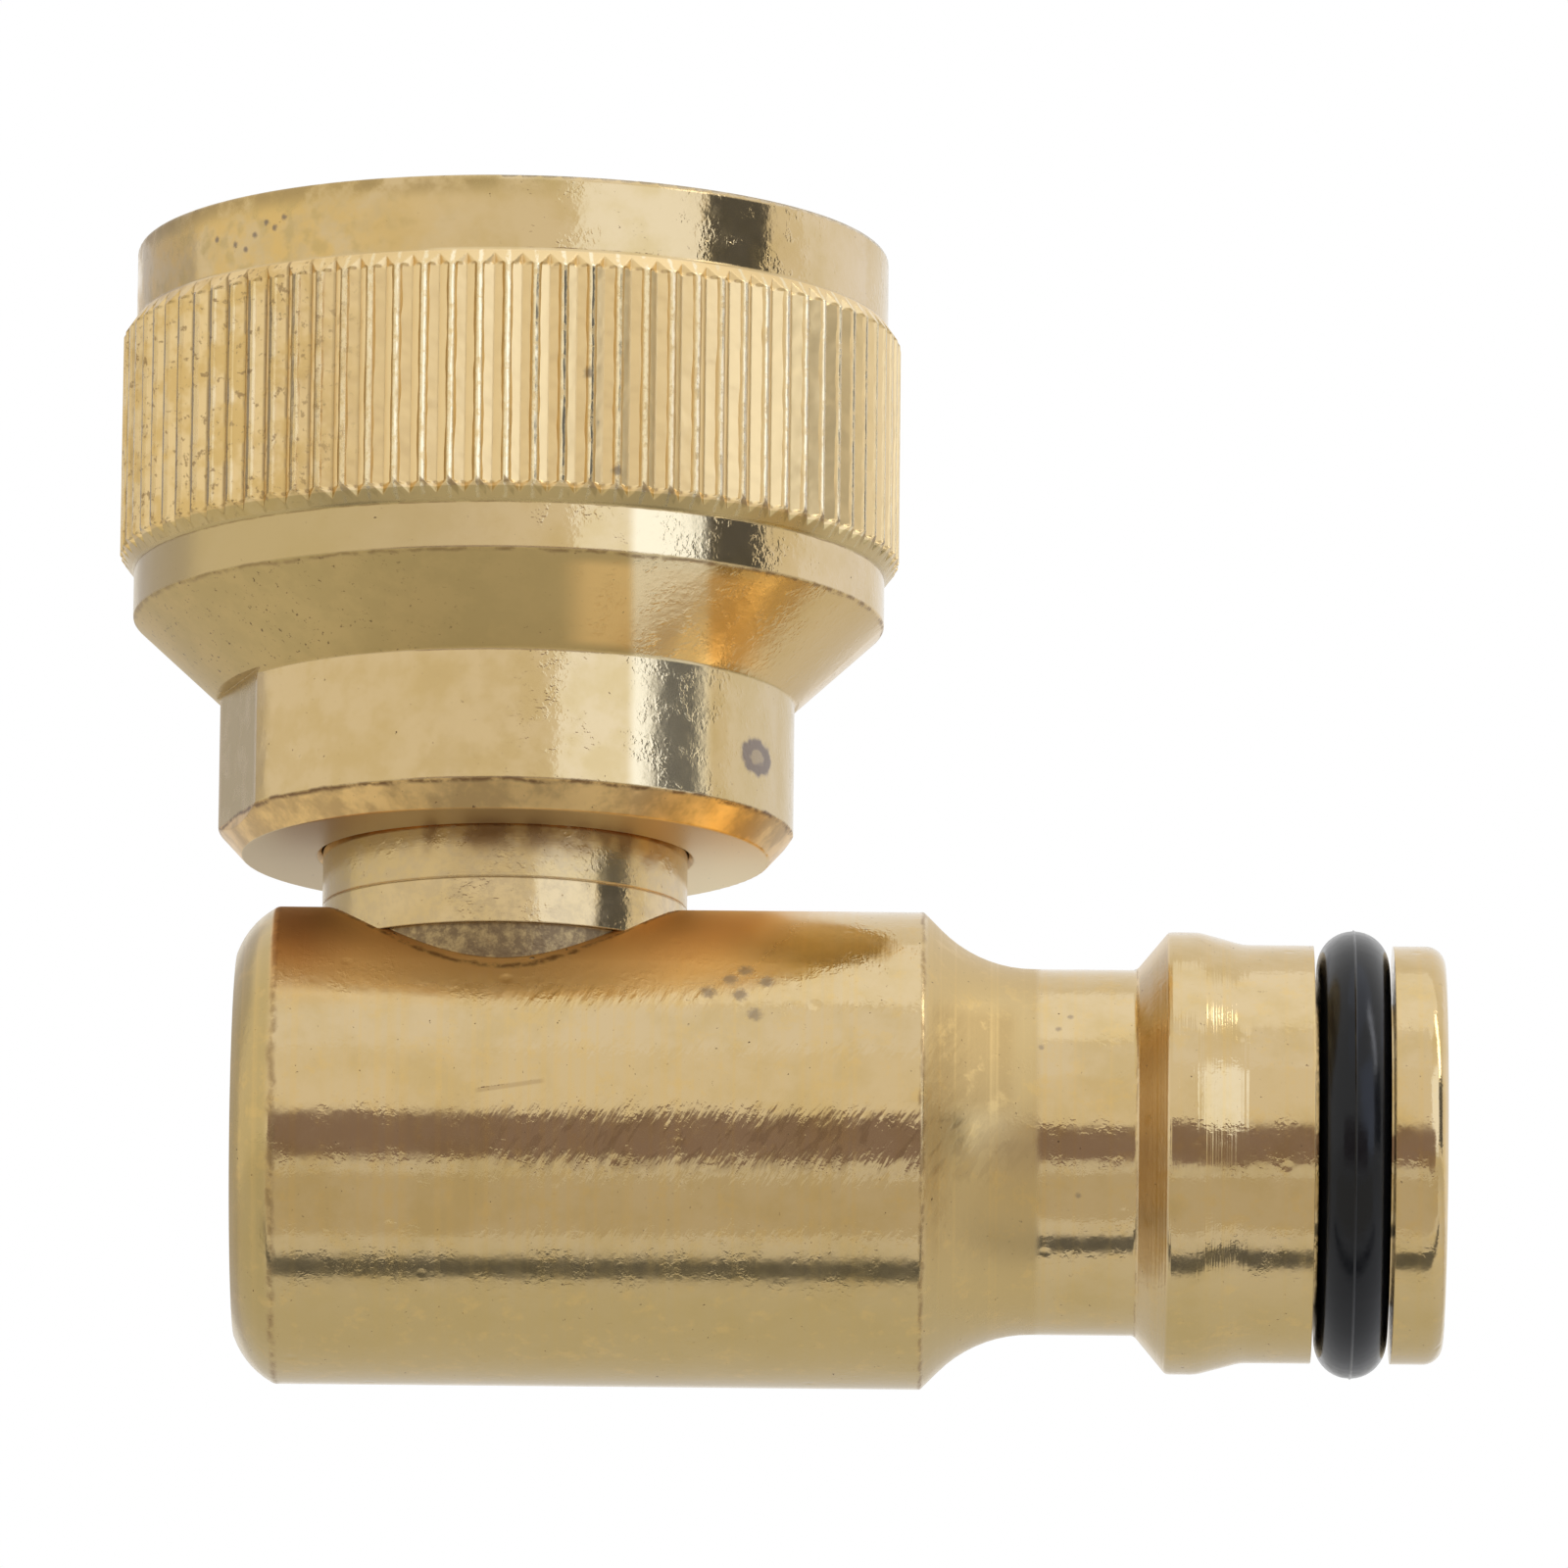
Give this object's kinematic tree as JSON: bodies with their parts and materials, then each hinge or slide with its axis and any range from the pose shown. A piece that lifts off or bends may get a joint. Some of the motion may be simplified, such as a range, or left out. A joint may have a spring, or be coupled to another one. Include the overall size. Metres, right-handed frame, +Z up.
{
  "type": "swivel elbow hose connector",
  "caption": "Brass tap-to-hose swivel elbow: knurled threaded cap turning on a right-angle outlet nipple with a sealing ring, for click-fit hose couplings.",
  "frame": {"origin": "centre of the cap's open mouth, on the swivel axis, at the start of the tap thread's wall", "axes": "+Z up along the swivel axis, out of the cap towards the tap; +X along the elbow's outlet, out of its tip; +Y away from the side that the picture shows"},
  "size_m": [0.0511, 0.03, 0.044],
  "materials": {
    "cap_brass": "turned and tumbled brass, bright, with small pits and a light patina",
    "spindle_brass": "turned brass, bright",
    "elbow_brass": "turned and tumbled brass, bright, with fine scratches",
    "seal_rubber": "moulded black nitrile rubber, satin",
    "washer_rubber": "flat black rubber, matt",
    "slip_plastic": "natural white acetal, matt"
  },
  "bodies": {
    "cap": {"swivel_cap": "cap_brass", "tap_washer": "washer_rubber", "slip_washer": "slip_plastic"},
    "elbow": {"swivel_spindle": "spindle_brass", "upper_spindle_seal": "seal_rubber", "lower_spindle_seal": "seal_rubber", "elbow_body": "elbow_brass", "nipple_o_ring": "seal_rubber"}
  },
  "joints": [
    {"name": "elbow_swivel", "type": "hinge", "parent": "cap", "child": "elbow", "pos_m": [0, 0, -0.013], "axis": [0, 0, 1], "continuous": true}
  ]
}
